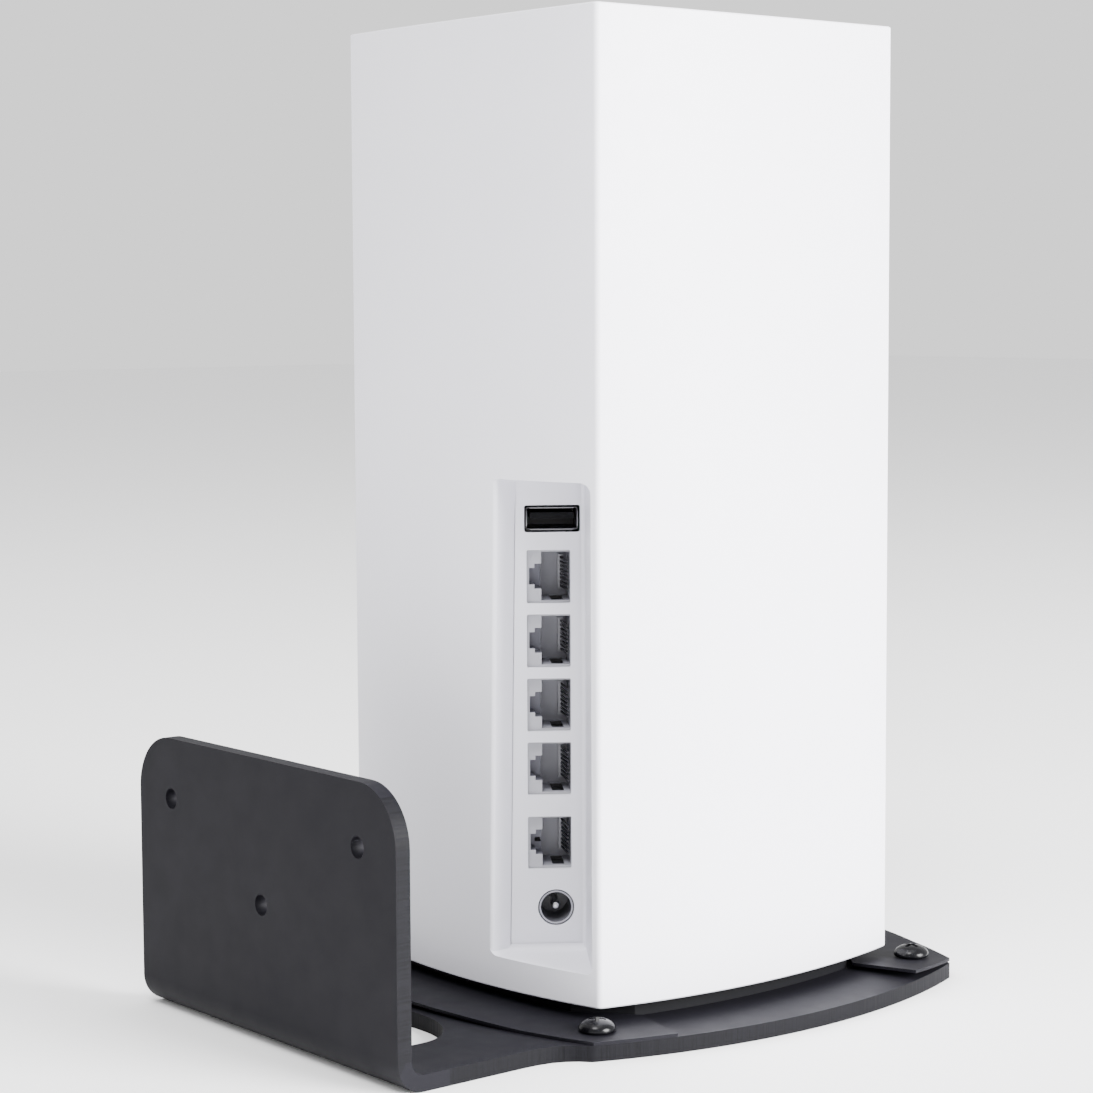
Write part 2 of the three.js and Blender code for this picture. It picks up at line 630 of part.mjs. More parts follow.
add(bracketGroup, 'wall_bracket', makeBracket(), charcoal);
add(bracketGroup, 'retainer_strip_rear', makeRetainer(1, middleBow), charcoal);
add(bracketGroup, 'retainer_strip_front', makeRetainer(-1, frontLift), charcoal);
eachCorner(SCREW_OFFSET).forEach(([x, y], i) => {
  const raised = x < 0 && y < 0;
  const seat = raised ? SCREW_SEAT.raised : SCREW_SEAT.flat;
  add(bracketGroup, `retainer_screw_${i + 1}`, crossScrew(4.6, 3, 1.95, seat - 0.4), blackScrew,
    x, y, seat);
});

add(towerGroup, 'outer_shell', makeShell(), white);
add(towerGroup, 'top_cover', makeTopCover(), white);
const coverTop = dishedTop(LIGHT.x, LIGHT.y) - COVER_DROP;
add(towerGroup, 'status_light_lens', post(LIGHT.radius, LIGHT.x, LIGHT.y, coverTop - 2.4, coverTop - 0.1),
  lensWhite);
add(towerGroup, 'light_guide', post(2.2, LIGHT.x, LIGHT.y, 231.6, coverTop - 2.7, 12), lensWhite);
add(towerGroup, 'led_board', box(-12, 12, LIGHT.y - 5, LIGHT.y + 5, 229.6, 231.2), boardGreen);

add(portGroup, 'io_panel', makePanel(), portWhite);
[...LAN_Z, WAN_Z].forEach((z, i) => {
  const isWan = i === LAN_JACKS;
  add(portGroup, isWan ? 'wan_jack' : `lan_jack_${i + 1}`, makeJack(isWan), jackGrey, JACK_X, 0, z);
  add(portGroup, isWan ? 'wan_contacts' : `lan_contacts_${i + 1}`, makeContacts(), gold, JACK_X, 0, z);
});
add(portGroup, 'usb_shell', makeUsbShell(), steel, USB.x, 0, USB.z);
add(portGroup, 'usb_tongue', box(-5.6, 5.6, 1.4, 13.9, -0.1, 1.55), blackPlastic, USB.x, 0, USB.z);
add(portGroup, 'dc_jack_body', makePowerJack(), blackPlastic, POWER.x, 0, POWER.z);
add(portGroup, 'dc_center_pin', bar(1.05, 0, 0, 2, 12.2, 14), steel, POWER.x, 0, POWER.z);
add(portGroup, 'main_board', box(BOARD_X, BOARD_X + 1.6, 3, 84, 9, 208), boardGreen);
add(portGroup, 'shield_can_1', box(BOARD_X + 1.7, BOARD_X + 3.4, 20, 50, 60, 100), steel);
add(portGroup, 'shield_can_2', box(BOARD_X - 1.8, BOARD_X - 0.1, 26, 56, 90, 130), steel);
add(portGroup, 'heatsink_outer', makeHeatsink(BOARD_X + 3.6, 37, 12, 72, 20, 190, 11), aluminium);
add(portGroup, 'heatsink_inner', makeHeatsink(BOARD_X - 2, -3, 25, 70, 30, 190, 9), aluminium);

add(towerGroup, 'base_plinth', makePlinth(), blackPlastic);
eachCorner(38).forEach(([x, y], i) => {
  add(towerGroup, `rubber_foot_${i + 1}`, post(4.4, x, y, SHELF_TOP + 0.02, PLINTH_BOTTOM + 1.1, 12), rubber);
});
BASE_SCREWS.forEach(([x, y], i) => {
  const screw = plainScrew(2.9, 1.2, 1.5, 9.5).rotateX(Math.PI);
  add(towerGroup, `base_screw_${i + 1}`, screw, blackScrew, x, y, PLINTH_BOTTOM + 1.3);
});
add(towerGroup, 'wps_button', makeButton(WPS, -4.9, 5.4, 1.6, 2.4), portWhite, WPS.x, WPS.y);
add(towerGroup, 'reset_button', makeButton(RESET, -3.6, 2.9, 1.2, 2.6), charcoal, RESET.x, RESET.y);
add(towerGroup, 'wps_tact_switch', makeTactSwitch(), steel, WPS.x, WPS.y);
add(towerGroup, 'reset_tact_switch', makeTactSwitch(), steel, RESET.x, RESET.y);
add(towerGroup, 'button_board', box(-20, 0, -20, 20, 4.9, 6.5), boardGreen);
add(towerGroup, 'power_switch_housing', makeSwitchHousing(), blackPlastic, SWITCH.x, SWITCH.y);
add(towerGroup, 'power_switch_rocker', makeRocker(), blackPlastic, SWITCH.x, SWITCH.y, ROCKER_PIVOT);
add(towerGroup, 'inner_frame', makeFrame(), blackPlastic);
FRAME_POSTS.forEach(([x, y], i) => {
  add(towerGroup, `frame_screw_${i + 1}`, plainScrew(2.6, 1.8, 1.2, 8), steel, x, y, FRAME_TOP + 0.05);
});
[[0, 192], [90, 192], [180, 192], [270, 192], [0, 120], [270, 120]].forEach(([degrees, z], i) => {
  const plate = box(47, 47.8, -14, 14, z, z + 30).rotateZ(THREE.MathUtils.degToRad(degrees));
  add(towerGroup, `antenna_${i + 1}`, plate, boardGreen);
});

export default assembly;
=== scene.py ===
# Looks for the mesh wifi node on its wall bracket. Lengths are millimetres until MM turns them into metres.
import math

import bmesh
import bpy
from mathutils import Matrix, Vector


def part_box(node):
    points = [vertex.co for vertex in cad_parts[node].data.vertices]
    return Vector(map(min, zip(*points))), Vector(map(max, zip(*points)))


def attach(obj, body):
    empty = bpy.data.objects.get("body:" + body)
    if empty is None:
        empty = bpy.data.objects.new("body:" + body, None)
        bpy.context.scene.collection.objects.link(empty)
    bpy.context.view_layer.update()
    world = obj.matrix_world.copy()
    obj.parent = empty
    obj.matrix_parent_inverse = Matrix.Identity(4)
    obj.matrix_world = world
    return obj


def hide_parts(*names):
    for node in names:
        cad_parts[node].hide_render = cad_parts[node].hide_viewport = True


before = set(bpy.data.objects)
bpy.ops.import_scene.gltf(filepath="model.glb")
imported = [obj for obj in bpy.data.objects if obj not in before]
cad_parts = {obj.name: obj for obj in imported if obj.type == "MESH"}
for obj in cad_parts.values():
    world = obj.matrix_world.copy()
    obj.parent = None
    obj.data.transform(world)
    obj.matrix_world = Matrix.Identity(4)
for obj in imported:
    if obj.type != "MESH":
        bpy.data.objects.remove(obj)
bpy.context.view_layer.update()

MM = 0.001

# ---- Sizes that the frame's nodes share ---------------------------------------
shell_low, shell_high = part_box("outer_shell")
TOWER_X = (shell_low.x + shell_high.x) / 2 / MM
TOWER_Y = (shell_low.y + shell_high.y) / 2 / MM
SHELL_LIFT = shell_low.z / MM
HEIGHT = (shell_high.z - shell_low.z) / MM
HALF_WIDTH = (shell_high.x - shell_low.x) / 2 / MM
BULGE = 6.95
CORNER = HALF_WIDTH - BULGE
DISH = 0.00054
WALL = 2.8
CORNER_ROUND = 1.0
FACE_STEPS = 64

SHELF_MID = 74.6
SHELF_RADIUS = 162.6
SHELF_CORNER = 62.8
PLATE = 4.0
NECK_HALF = 55.45
WALL_FACE = 114.8
PLATE_TOP = 70.8
PLATE_ROUND = 14.2
BEND_OUTER = 7.6
WALL_HOLES = ((-40.5, 55.4), (40.5, 55.4), (0, 35))
WALL_HOLE_RADIUS = 2.6
ACCESS_HALF = 32
ACCESS_ROUND = 14
SCREW_AT = 55.0
CORNER_SCREWS = [(x, y) for x in (-SCREW_AT, SCREW_AT) for y in (-SCREW_AT, SCREW_AT)]
STRIP = 0.8

RECESS_LOW = 8.1
RECESS_HIGH = 128.2
RECESS_RIGHT = (-48.2, 50.7)
PORT_ORIGIN = (-15.74, 49.86)
PORT_ANGLE = math.radians(-125.7)
FLOOR_WIDTH = 18.9
FLOOR_END = 17.9
SEAM = 0.3
PANEL = 1.2
JACK_X = 9.75
JACK_HALF = (5.5, 6.7)
LAN_Z = [103.2 - 16.2 * i for i in range(4)]
WAN_Z = 35.7
USB_AT = (10.7, 117.75)
USB_HALF = (7, 3.4)
POWER_AT = (11.3, 19.1)
POWER_RADIUS = 4.6

TOWER = Matrix.Translation((TOWER_X, TOWER_Y, SHELL_LIFT))
BRACKET = Matrix.Translation((TOWER_X, TOWER_Y, 0))
PORT = TOWER @ Matrix.Translation((*PORT_ORIGIN, 0)) @ Matrix.Rotation(PORT_ANGLE, 4, "Z")


# ---- Materials ------------------------------------------------------------------
def new_material(name, color, roughness, metallic=0.0):
    material = bpy.data.materials.new(name)
    material.use_nodes = True
    shader = material.node_tree.nodes["Principled BSDF"]
    shader.inputs["Base Color"].default_value = (*color, 1)
    shader.inputs["Roughness"].default_value = roughness
    shader.inputs["Metallic"].default_value = metallic
    return material


def set_input(material, key, value):
    material.node_tree.nodes["Principled BSDF"].inputs[key].default_value = value


def add_node(material, kind, **inputs):
    node = material.node_tree.nodes.new(kind)
    for key, value in inputs.items():
        node.inputs[key.replace("_", " ")].default_value = value
    return node


def link(material, source, target):
    material.node_tree.links.new(source, target)


def place(material, stretch=(1, 1, 1)):
    """Object coordinates in millimetres, stretched along the axes."""
    nodes = material.node_tree.nodes
    coords = nodes.new("ShaderNodeTexCoord")
    mapping = nodes.new("ShaderNodeMapping")
    mapping.inputs["Scale"].default_value = [s / MM for s in stretch]
    link(material, coords.outputs["Object"], mapping.inputs["Vector"])
    return mapping.outputs["Vector"]


def noise(material, scale, detail=3.0, stretch=(1, 1, 1)):
    node = add_node(material, "ShaderNodeTexNoise", Scale=scale, Detail=detail)
    link(material, place(material, stretch), node.inputs["Vector"])
    return node.outputs["Fac"]


def remap(material, value, low, high, start=0.3, stop=0.7):
    node = material.node_tree.nodes.new("ShaderNodeMapRange")
    node.inputs["From Min"].default_value = start
    node.inputs["From Max"].default_value = stop
    node.inputs["To Min"].default_value = low
    node.inputs["To Max"].default_value = high
    link(material, value, node.inputs["Value"])
    return node.outputs["Result"]


def shade(material, value, dark, light, start=0.3, stop=0.7):
    ramp = material.node_tree.nodes.new("ShaderNodeValToRGB")
    ramp.color_ramp.elements[0].position = start
    ramp.color_ramp.elements[0].color = (*dark, 1)
    ramp.color_ramp.elements[1].position = stop
    ramp.color_ramp.elements[1].color = (*light, 1)
    link(material, value, ramp.inputs["Fac"])
    shader = material.node_tree.nodes["Principled BSDF"]
    link(material, ramp.outputs["Color"], shader.inputs["Base Color"])


def rough(material, value, low, high):
    shader = material.node_tree.nodes["Principled BSDF"]
    link(material, remap(material, value, low, high), shader.inputs["Roughness"])


def bump(material, value, depth, strength=1.0):
    """Adds relief of a depth in millimetres, on top of relief that is already there."""
    node = material.node_tree.nodes.new("ShaderNodeBump")
    node.inputs["Strength"].default_value = strength
    node.inputs["Distance"].default_value = depth * MM
    link(material, value, node.inputs["Height"])
    shader = material.node_tree.nodes["Principled BSDF"]
    if shader.inputs["Normal"].links:
        link(material, shader.inputs["Normal"].links[0].from_socket, node.inputs["Normal"])
    link(material, node.outputs["Normal"], shader.inputs["Normal"])


def moulded(name, color, roughness, grain, depth):
    """Moulded plastic with a fine spark-eroded grain and a slow drift in tone."""
    material = new_material(name, color, roughness)
    slow = noise(material, 0.03, 2.0)
    shade(material, slow, [c * 0.985 for c in color], [min(1, c * 1.01) for c in color])
    rough(material, noise(material, 0.25, 2.0), roughness - 0.04, roughness + 0.05)
    bump(material, noise(material, grain, 2.0), depth)
    return material


def coated(name, color):
    """Thin matt black coating on cut plate, with faint handling marks."""
    material = new_material(name, color, 0.5)
    cloud = noise(material, 0.05, 4.0)
    shade(material, cloud, [c * 0.96 for c in color], [c * 1.04 for c in color])
    rough(material, noise(material, 0.12, 5.0), 0.5, 0.56)
    bump(material, noise(material, 2.6, 3.0), 0.012)
    return material


def sawn(name, color, stretch):
    """A cut edge whose tool marks run across the plate."""
    material = new_material(name, color, 0.55)
    marks = noise(material, 1.0, 3.0, stretch)
    shade(material, marks, [c * 0.7 for c in color], [c * 1.3 for c in color], 0.36, 0.64)
    rough(material, marks, 0.45, 0.7)
    bump(material, marks, 0.06)
    return material


def metal(name, color, roughness, stretch):
    material = new_material(name, color, roughness, 1.0)
    grain = noise(material, 1.0, 3.0, stretch)
    shade(material, grain, [c * 0.85 for c in color], color)
    rough(material, grain, roughness - 0.06, roughness + 0.1)
    bump(material, grain, 0.006)
    return material


def circuit_board():
    """Green solder mask over a faint grid of traces."""
    material = new_material("board_green", (0.02, 0.1, 0.05), 0.35)
    node = add_node(material, "ShaderNodeTexBrick", Scale=0.16)
    node.inputs["Color1"].default_value = (0.018, 0.1, 0.05, 1)
    node.inputs["Color2"].default_value = (0.02, 0.13, 0.065, 1)
    node.inputs["Mortar"].default_value = (0.03, 0.2, 0.09, 1)
    link(material, place(material, (1, 1, 1)), node.inputs["Vector"])
    shader = material.node_tree.nodes["Principled BSDF"]
    link(material, node.outputs["Color"], shader.inputs["Base Color"])
    bump(material, node.outputs["Fac"], 0.02)
    return material


def frosted_lens():
    material = new_material("lens_frosted", (0.9, 0.92, 0.95), 0.3)
    shader = material.node_tree.nodes["Principled BSDF"]
    shader.inputs["Transmission Weight"].default_value = 0.5
    shader.inputs["Subsurface Weight"].default_value = 0.3
    rough(material, noise(material, 0.8, 2.0), 0.22, 0.36)
    return material


def bare_rubber():
    material = new_material("rubber_black", (0.018, 0.018, 0.019), 0.85)
    rough(material, noise(material, 0.7, 3.0), 0.75, 0.92)
    bump(material, noise(material, 1.8, 2.0), 0.03)
    return material


BLACK = (0.0070, 0.0067, 0.0092)
shell_white = moulded("shell_white", (0.795, 0.79, 0.85), 0.46, 2.2, 0.010)
port_white = moulded("port_white", (0.755, 0.75, 0.81), 0.38, 3.0, 0.004)
bracket_black = coated("bracket_black", BLACK)
# The plate's cut edges are a darker black than its faces. This is painted shade on edges that turn from the
# light; their tool marks are real.
edge_around_shade = sawn("edge_around_shade", (0.0047, 0.0046, 0.0059), (2.2, 2.2, 0.05))
edge_upright_shade = sawn("edge_upright_shade", (0.0055, 0.0054, 0.0068), (0.05, 0.05, 2.0))
sheet_black = coated("sheet_black", BLACK)
screw_black = moulded("screw_black", (0.0022, 0.0022, 0.003), 0.24, 1.5, 0.01)
plastic_black = moulded("plastic_black", (0.0045, 0.0045, 0.0055), 0.6, 1.6, 0.012)
# Painted shade: the black that fills the jacks' slots and the USB can's inside.
hollow_shade_black = moulded("hollow_shade_black", (0.028, 0.028, 0.032), 0.4, 1.6, 0.01)
jack_grey = moulded("jack_grey", (0.38, 0.38, 0.41), 0.5, 2.0, 0.006)
# Painted shade: darker greys for the jack cavities and the still darker keyways.
cavity_shade_grey = moulded("cavity_shade_grey", (0.33, 0.33, 0.37), 0.5, 2.0, 0.006)
keyway_shade_grey = moulded("keyway_shade_grey", (0.15, 0.15, 0.18), 0.5, 2.0, 0.006)
steel = metal("steel_plated", (0.62, 0.62, 0.64), 0.28, (0.2, 0.2, 2.0))
contact_metal = metal("contact_plated", (0.10, 0.10, 0.11), 0.42, (1.0, 1.0, 0.2))
barrel_grey = moulded("barrel_grey", (0.13, 0.13, 0.15), 0.4, 1.6, 0.01)
# Painted shade: the USB can's steel is made dark over its bright plating.
can_shade_metal = metal("can_painted_shade", (0.16, 0.16, 0.17), 0.3, (0.5, 0.5, 0.5))
aluminium = metal("aluminium_fin", (0.66, 0.68, 0.7), 0.35, (0.1, 0.1, 3.0))
board_green = circuit_board()
lens = frosted_lens()
rubber = bare_rubber()
for matt in (bracket_black, edge_around_shade, edge_upright_shade, sheet_black, plastic_black):
    set_input(matt, "Specular IOR Level", 0.08)
set_input(screw_black, "Specular IOR Level", 0.16)
set_input(screw_black, "Coat Weight", 0.05)


# ---- Mesh helpers ----------------------------------------------------------------
def finish_mesh(bm, name):
    bmesh.ops.recalc_face_normals(bm, faces=bm.faces)
    mesh = bpy.data.meshes.new(name)
    bm.to_mesh(mesh)
    bm.free()
    piece = bpy.data.objects.new(name, mesh)
    bpy.context.scene.collection.objects.link(piece)
    return piece


def to_metres(piece, matrix):
    """Puts a mesh drawn in millimetres where its group stands, in metres."""
    piece.data.transform(Matrix.Scale(MM, 4) @ matrix)
    piece.data.update()
    return piece


def skin(rings, name="skin", looped=False):
    """A solid from rings of equal count. Ends are closed flat, or joined when looped."""
    bm = bmesh.new()
    loops = [[bm.verts.new(point) for point in ring] for ring in rings]
    bands = list(zip(loops, loops[1:]))
    if looped:
        bands.append((loops[-1], loops[0]))
    for low, high in bands:
        for i in range(len(low)):
            j = (i + 1) % len(low)
            bm.faces.new((low[i], low[j], high[j], high[i]))
    if not looped:
        bm.faces.new(loops[0])
        bm.faces.new(loops[-1])
    return finish_mesh(bm, name)


def prism(outline, z0, z1, name="prism"):
    return skin([[(x, y, z0) for x, y in outline], [(x, y, z1) for x, y in outline]], name)


def side_prism(outline, y0, y1, name="side"):
    """An outline in X and Z, pushed from y0 to y1."""
    return skin([[(x, y0, z) for x, z in outline], [(x, y1, z) for x, z in outline]], name)


def box(x0, x1, y0, y1, z0, z1, name="box"):
    return prism([(x0, y0), (x1, y0), (x1, y1), (x0, y1)], z0, z1, name)


def arc(cx, cy, radius, start, stop, steps, radius_y=None):
    tall = radius if radius_y is None else radius_y
    angles = [math.radians(start + (stop - start) * i / steps) for i in range(steps + 1)]
    return [(cx + radius * math.cos(a), cy + tall * math.sin(a)) for a in angles]


def rounded_rect(x0, x1, y0, y1, radii, steps=8):
    a, b, c, d = radii if isinstance(radii, (list, tuple)) else [radii] * 4
    return [*arc(x0 + a, y0 + a, a, 180, 270, steps), *arc(x1 - b, y0 + b, b, 270, 360, steps),
            *arc(x1 - c, y1 - c, c, 0, 90, steps), *arc(x0 + d, y1 - d, d, 90, 180, steps)]


def turned(profile, sides, name="turned", axis="Z"):
    """A solid of revolution. The profile is (radius, height) from the axis back to the axis."""
    bm = bmesh.new()
    rings = []
    for radius, height in profile:
        if radius == 0:
            rings.append([bm.verts.new((0, 0, height))])
            continue
        turn = [2 * math.pi * i / sides for i in range(sides)]
        rings.append([bm.verts.new((radius * math.cos(t), radius * math.sin(t), height)) for t in turn])
    for low, high in zip(rings, rings[1:]):
        for i in range(sides):
            j = (i + 1) % sides
            corners = [low[i % len(low)], low[j % len(low)], high[j % len(high)], high[i % len(high)]]
            bm.faces.new(list(dict.fromkeys(corners)))
    if axis == "Y":
        bmesh.ops.rotate(bm, verts=bm.verts, matrix=Matrix.Rotation(-math.pi / 2, 3, "X"))
    return finish_mesh(bm, name)


def shift(piece, x=0.0, y=0.0, z=0.0):
    piece.data.transform(Matrix.Translation((x, y, z)))
    return piece


def apply_modifiers(piece):
    graph = bpy.context.evaluated_depsgraph_get()
    mesh = bpy.data.meshes.new_from_object(piece.evaluated_get(graph))
    piece.modifiers.clear()
    piece.data = mesh
    return piece


def drop(piece):
    mesh = piece.data
    bpy.data.objects.remove(piece)
    bpy.data.meshes.remove(mesh)


def boolean(piece, tools, operation):
    for tool in tools:
        step = piece.modifiers.new("cut", "BOOLEAN")
        step.operation = operation
        step.object = tool
        step.solver = "EXACT"
        apply_modifiers(piece)
        drop(tool)
    return piece


def cut(piece, *tools):
    return boolean(piece, tools, "DIFFERENCE")


def join(piece, *tools):
    return boolean(piece, tools, "UNION")


def common(piece, *tools):
    return boolean(piece, tools, "INTERSECT")


def tidy(piece):
    bm = bmesh.new()
    bm.from_mesh(piece.data)
    bmesh.ops.remove_doubles(bm, verts=bm.verts, dist=0.0005)
    bmesh.ops.dissolve_degenerate(bm, edges=bm.edges, dist=0.0005)
    bm.to_mesh(piece.data)
    bm.free()
    return piece


def soften(piece, width, segments=2, angle=35):
    """Rounds the piece's sharp edges by a width in millimetres."""
    step = piece.modifiers.new("edge", "BEVEL")
    step.width = width
    step.segments = segments
    step.limit_method = "ANGLE"
    step.angle_limit = math.radians(angle)
    return apply_modifiers(piece)


def smooth(piece, angle=35):
    """Smooth shading up to an angle, with normals weighted so that flat faces stay flat."""
    piece.data.polygons.foreach_set("use_smooth", [True] * len(piece.data.polygons))
    piece.data.set_sharp_from_angle(angle=math.radians(angle))
    even = piece.modifiers.new("even", "WEIGHTED_NORMAL")
    even.keep_sharp = True
    return piece


def paint(piece, *materials):
    piece.data.materials.clear()
    for material in materials:
        piece.data.materials.append(material)
    return piece


def stand_for(piece, name, nodes, body="root"):
    piece.name = name
    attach(piece, body)
    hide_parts(*nodes)
    return piece


# ---- Outlines shared by the tower's parts ------------------------------------------
FACE_RADIUS = (CORNER ** 2 + BULGE ** 2) / (2 * BULGE)
FACE_CENTRE = CORNER + BULGE - FACE_RADIUS


def face_offset(along, inset=0.0):
    return FACE_CENTRE + math.sqrt((FACE_RADIUS - inset) ** 2 - along ** 2)


def corner_at(inset):
    radius = FACE_RADIUS - inset
    return (FACE_CENTRE + math.sqrt(2 * radius ** 2 - FACE_CENTRE ** 2)) / 2


def tower_outline(inset, steps=FACE_STEPS, corner_steps=8):
    """The tower's plan outline, drawn inwards by inset."""
    corner = corner_at(inset)
    end = corner - CORNER_ROUND
    points = []
    for side in range(4):
        cos, sin = math.cos(side * math.pi / 2), math.sin(side * math.pi / 2)
        stations = [-end + 2 * end * i / steps for i in range(steps + 1)]
        run = [(along, face_offset(along, inset)) for along in stations]
        edge = face_offset(end, inset)
        for i in range(1, corner_steps):
            t = i / corner_steps
            keep, pull = (1 - t) ** 2, 2 * t * (1 - t)
            run.append((keep * end + pull * corner + t * t * edge,
                        keep * edge + pull * corner + t * t * end))
        points += [(cos * out - sin * along, sin * out + cos * along) for along, out in run]
    return points


def dished_top(x, y, drop_by=0.0):
    return HEIGHT - DISH * (2 * CORNER ** 2 - x * x - y * y) - drop_by


def ring(outline, height):
    return [(x, y, height(x, y) if callable(height) else height) for x, y in outline]


LIP_ROUND = 1.2


def port_point(along, depth):
    cos, sin = math.cos(PORT_ANGLE), math.sin(PORT_ANGLE)
    return (PORT_ORIGIN[0] + along * cos - depth * sin, PORT_ORIGIN[1] + along * sin + depth * cos)


# ---- Outer shell -------------------------------------------------------------------
def recess_left(z):
    """Where the leaning left wall meets the shell and the floor at one height."""
    part = (z - RECESS_LOW) / (RECESS_HIGH - RECESS_LOW)
    return -15.85 - 2.35 * part, -0.4 + 1.8 * part


def recess_plan(z):
    """The recess cut at one height. Its left wall leans, and its lip and far corner are round."""
    lip, floor = recess_left(z)
    top = face_offset(lip + LIP_ROUND) + 0.02
    lip_round = [(lip + LIP_ROUND * (1 - math.sin(math.radians(a))),
                  top - LIP_ROUND * (1 - math.cos(math.radians(a)))) for a in range(0, 91, 15)]
    width = FLOOR_WIDTH - FLOOR_END
    far = [port_point(FLOOR_END + width * math.sin(math.radians(a)),
                      -SEAM - 1.2 * width * (1 - math.cos(math.radians(a)))) for a in range(0, 91, 15)]
    right = [(RECESS_RIGHT[0], RECESS_RIGHT[1] - 0.25), (RECESS_RIGHT[0], 62)]
    return [(lip + LIP_ROUND, 62), *lip_round, port_point(floor, -SEAM), port_point(floor, 3),
            port_point(FLOOR_END, 3), *far, *right]


def recess_front():
    """The recess as seen from the wall side: a rounded outline whose left edge leans."""
    foot = recess_left(RECESS_LOW)[0]
    left = foot + LIP_ROUND + 0.05
    outline = rounded_rect(RECESS_RIGHT[0], left, RECESS_LOW, RECESS_HIGH, [1.8, 3.4, 2, 3], 10)
    return [(x if x < left - 10 else x + recess_left(z)[0] - foot, z) for x, z in outline]


def recess_tool():
    """The hollow that is cut from the shell, less a fillet where its floor meets its ledge."""
    levels = [RECESS_LOW + (RECESS_HIGH - RECESS_LOW) * i / 4 for i in range(5)]
    body = skin([[(x, y, z) for x, y in recess_plan(z)] for z in levels], "recess")
    tool = common(body, side_prism(recess_front(), 20, 70))
    reach = 1.8
    curve = [(-SEAM - reach * (1 - math.sin(math.radians(a))),
              RECESS_LOW + reach * (1 - math.cos(math.radians(a)))) for a in range(0, 91, 15)]
    section = [(-SEAM - reach, RECESS_LOW - 1), *curve, (2, RECESS_LOW + reach), (2, RECESS_LOW - 1)]
    fillet = skin([[(x, y, z) for y, z in section] for x in (-4, 22)], "fillet")
    fillet.data.transform(Matrix.Translation((*PORT_ORIGIN, 0)) @ Matrix.Rotation(PORT_ANGLE, 4, "Z"))
    return cut(tool, fillet)


def pocket_wall():
    thick = 1.6
    outer = []
    for z, part in ((RECESS_LOW - thick, 0), (RECESS_HIGH + thick, 1)):
        lip, floor = recess_left(RECESS_LOW + part * (RECESS_HIGH - RECESS_LOW))
        lip, floor = lip + thick, floor - thick
        right = (RECESS_RIGHT[0] - 0.6 * thick, RECESS_RIGHT[1] - 0.8 * thick)
        outer.append([(x, y, z) for x, y in (
            (lip, 62), (lip, 54.2), port_point(floor, -SEAM), port_point(FLOOR_WIDTH + thick, -SEAM),
            right, (right[0], 62))])
    return common(skin(outer, "pocket"), prism(tower_outline(WALL / 2, 24), 0, HEIGHT))


def build_shell():
    outer, inner = tower_outline(0), tower_outline(WALL)
    rim = 0.35
    near_outer, near_inner = tower_outline(rim), tower_outline(WALL - rim)
    rings = [ring(outer, rim), ring(outer, lambda x, y: dished_top(x, y, rim)),
             ring(near_outer, dished_top), ring(near_inner, dished_top),
             ring(inner, lambda x, y: dished_top(x, y, rim)), ring(inner, rim),
             ring(near_inner, 0), ring(near_outer, 0)]
    shell = skin(rings, "shell", looped=True)
    shell = cut(join(shell, pocket_wall()), recess_tool())
    to_metres(smooth(tidy(shell), 30), TOWER)
    paint(shell, shell_white)
    return stand_for(shell, "tower_shell", ["outer_shell"])


def build_top():
    """The dished grille, with a slot for each row and a round hole for the light."""
    drop_by, thick = 0.8, 2.2
    outline = tower_outline(WALL + 0.3, 32, 5)
    factors = [0.02, 0.25, 0.5, 0.75, 0.93, 0.996, 1]
    rounding = [0, 0, 0, 0, 0, 0.02, 0.3]
    scaled = [[(x * f, y * f) for x, y in outline] for f in factors]
    above = [ring(points, lambda x, y, r=r: dished_top(x, y, drop_by + r))
             for points, r in zip(scaled, rounding)]
    below = [ring(points, lambda x, y: dished_top(x, y, drop_by + thick)) for points in scaled]
    cover = skin([*below, *reversed(above)], "cover")
    slots = []
    for row in range(-3, 4):
        for side in (-1, 1):
            slots.append(prism(rounded_rect(side * 21 - 15, side * 21 + 15, row * 8 - 1.3,
                                            row * 8 + 1.3, 1.2, 5), 230, 246))
    hole = shift(turned([(0, 230), (3.3, 230), (3.3, 246), (0, 246)], 40), 0, -44, 0)
    cut(cover, *slots, hole)
    to_metres(smooth(soften(tidy(cover), 0.25), 30), TOWER)
    paint(cover, shell_white)
    return stand_for(cover, "top_grille", ["top_cover"])


# ---- Ports, drawn in the port frame: x along the floor, y into the tower -------------
JACK_FRONT = PANEL + 0.2


def paint_where(piece, second, test):
    """Gives a second material to the faces that a test on centre and normal picks."""
    piece.data.materials.append(second)
    index = len(piece.data.materials) - 1
    for face in piece.data.polygons:
        if test(face.center, face.normal):
            face.material_index = index
    return piece


def port_piece(piece, name, slot, nodes, x=0.0, z=0.0, angle=30):
    shift(piece, x, 0, z)
    to_metres(smooth(tidy(piece), angle), PORT)
    return stand_for(piece, name, nodes)


def window(x, z, half_wide, half_tall, corner, steps):
    return rounded_rect(x - half_wide, x + half_wide, z - half_tall, z + half_tall, corner, steps)


def build_panel():
    plate = box(-2.6, FLOOR_WIDTH + 1.2, 0, PANEL, RECESS_LOW - 1.2, RECESS_HIGH + 1.2)
    (_, low), (_, high) = [recess_left(z) for z in (RECESS_LOW, RECESS_HIGH)]
    groove = [(low - 0.3, RECESS_LOW - 1), (low + 0.22, RECESS_LOW - 1), (high + 0.22, RECESS_HIGH + 1),
              (high - 0.3, RECESS_HIGH + 1)]
    cut(plate, side_prism(groove, -1, 0.7))
    windows = [side_prism(window(JACK_X, z, *JACK_HALF, 0.4, 3), -1, 2)
               for z in [*LAN_Z, WAN_Z]]
    x, z = USB_AT
    windows.append(side_prism(window(x, z, *USB_HALF, 0.6, 4), -1, 2))
    x, z = POWER_AT
    windows.append(shift(turned([(0, -1), (POWER_RADIUS, -1), (POWER_RADIUS, 2), (0, 2)], 56, axis="Y"),
                         x, 0, z))
    panel = soften(tidy(cut(plate, *windows)), 0.55, 3)
    paint(panel, port_white)
    return port_piece(panel, "port_panel", "port_white", ["io_panel"])


